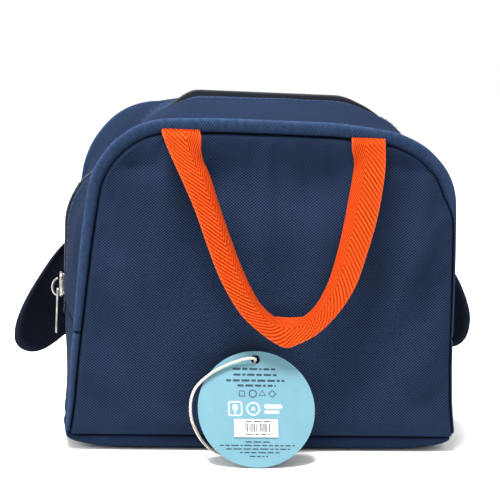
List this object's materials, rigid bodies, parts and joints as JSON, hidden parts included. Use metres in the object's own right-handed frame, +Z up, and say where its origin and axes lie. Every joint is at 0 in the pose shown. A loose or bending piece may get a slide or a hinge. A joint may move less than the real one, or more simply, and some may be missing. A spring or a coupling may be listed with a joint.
{
  "type": "lunch bag",
  "caption": "Soft insulated lunch bag with an arched zip opening, foam padding and lining, webbing handles, side flaps and a round hang tag.",
  "frame": {"origin": "on the floor under the middle of the bag", "axes": "+Z up, +X to the right of someone who faces the rear panel, -Y out of the rear panel"},
  "size_m": [0.257, 0.1329, 0.1823],
  "materials": {
    "panel_cloth": "navy textured polyester with a fine dotted weave",
    "gusset_cloth": "navy polyester, slightly smoother and lighter than the panels",
    "flap_cloth": "very dark navy smooth cloth",
    "foam": "white closed-cell polyethylene foam",
    "lining_foil": "silver-grey coated lining film",
    "zip_tape": "dark woven zip tape",
    "zip_coil": "black nylon coil",
    "zinc": "plated zinc alloy, satin",
    "webbing": "orange herringbone webbing",
    "tag_card": "printed coated card, pale blue",
    "sticker_paper": "white paper label",
    "cotton_string": "natural cotton string"
  },
  "bodies": {
    "root": {"base_panel": "gusset_cloth", "base_foam": "foam", "rear_panel_lower": "panel_cloth", "front_panel_lower": "panel_cloth", "rear_foam_panel_lower": "foam", "front_foam_panel_lower": "foam", "left_side_lower": "gusset_cloth", "right_side_lower": "gusset_cloth", "left_side_foam_lower": "foam", "right_side_foam_lower": "foam", "lining_tub": "lining_foil", "left_zip_end_tape": "zip_tape", "left_zip_end_coil": "zip_coil", "right_zip_end_tape": "zip_tape", "right_zip_end_coil": "zip_coil"},
    "rear_half": {"rear_panel_upper": "panel_cloth", "rear_gusset_strip": "gusset_cloth", "rear_foam_panel_upper": "foam", "rear_foam_gusset": "foam", "rear_lining_upper": "lining_foil", "rear_zip_tape": "zip_tape", "rear_zip_coil": "zip_coil"},
    "front_half": {"front_panel_upper": "panel_cloth", "front_gusset_strip": "gusset_cloth", "front_foam_panel_upper": "foam", "front_foam_gusset": "foam", "front_lining_upper": "lining_foil", "front_zip_tape": "zip_tape", "front_zip_coil": "zip_coil"},
    "rear_handle": {"rear_handle": "webbing"},
    "front_handle": {"front_handle": "webbing"},
    "left_flap": {"left_flap": "flap_cloth"},
    "right_flap": {"right_flap": "flap_cloth"},
    "slider": {"slider_body": "zinc"},
    "pull": {"pull_tab": "zinc"},
    "tag": {"hang_tag": "tag_card", "tag_sticker": "sticker_paper", "tag_string": "cotton_string", "tag_knot": "cotton_string"}
  },
  "joints": [
    {"name": "rear_half_open", "type": "hinge", "parent": "root", "child": "rear_half", "pos_m": [0, -0.044, 0.06], "axis": [1, 0, 0], "range_deg": [0, 30]},
    {"name": "front_half_open", "type": "hinge", "parent": "root", "child": "front_half", "pos_m": [0, 0.044, 0.06], "axis": [-1, 0, 0], "range_deg": [0, 30]},
    {"name": "rear_handle_swing", "type": "hinge", "parent": "rear_half", "child": "rear_handle", "pos_m": [0, -0.046, 0.1655], "axis": [-1, 0, 0], "range_deg": [0, 170]},
    {"name": "front_handle_swing", "type": "hinge", "parent": "front_half", "child": "front_handle", "pos_m": [0, 0.046, 0.1655], "axis": [1, 0, 0], "range_deg": [0, 170]},
    {"name": "left_flap_swing", "type": "hinge", "parent": "front_half", "child": "left_flap", "pos_m": [-0.10373, 0.039, 0.06], "axis": [0.0461, 0, 0.9989], "range_deg": [-60, 60], "stiffness_Nm_per_rad": 0.002},
    {"name": "right_flap_swing", "type": "hinge", "parent": "front_half", "child": "right_flap", "pos_m": [0.10373, 0.039, 0.06], "axis": [-0.0461, 0, 0.9989], "range_deg": [-60, 60], "stiffness_Nm_per_rad": 0.002},
    {"name": "slider_travel", "type": "slide", "parent": "root", "child": "slider", "axis": [-0.0122, 0, 0.9999], "range_m": [0, 0.044]},
    {"name": "pull_swing", "type": "hinge", "parent": "slider", "child": "pull", "pos_m": [-0.10729, 0, 0.07496], "axis": [0, 1, 0], "range_deg": [0, 160]},
    {"name": "tag_tip", "type": "hinge", "parent": "root", "child": "tag", "pos_m": [-0.008, -0.076, 0.0003], "axis": [1, 0, 0], "range_deg": [0, 100]}
  ]
}
